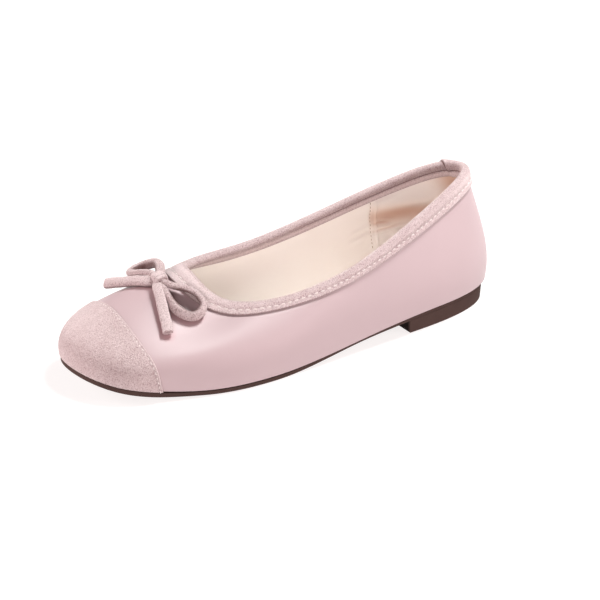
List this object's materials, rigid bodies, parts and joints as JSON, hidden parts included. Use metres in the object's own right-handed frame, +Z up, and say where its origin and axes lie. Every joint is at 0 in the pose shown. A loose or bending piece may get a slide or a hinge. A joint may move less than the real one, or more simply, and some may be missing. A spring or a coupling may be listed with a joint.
{
  "type": "ballet flat",
  "caption": "Low slip-on ballet flat for the left foot: smooth leather upper with a round suede toe cap, bound collar and small bow, on a thin sole with a low heel.",
  "frame": {"origin": "on the floor under the middle of the shoe's box", "axes": "+X from toe to heel, +Y to the inner side of the foot, +Z up"},
  "size_m": [0.2423, 0.085, 0.0739],
  "materials": {
    "leather": "smooth pale pink leather, satin",
    "suede": "dusty pink suede, matt with a short nap",
    "lining": "cream lining leather, dull",
    "sole": "dark brown moulded sole, dull"
  },
  "bodies": {
    "root": {"outsole": "sole", "heel_block": "sole", "insole": "lining", "upper": "leather", "toe_cap": "suede", "collar_binding": "suede", "bow_knot": "suede", "bow_loop_near": "suede", "bow_loop_far": "suede", "bow_tail_near": "suede", "bow_tail_far": "suede"}
  },
  "joints": []
}
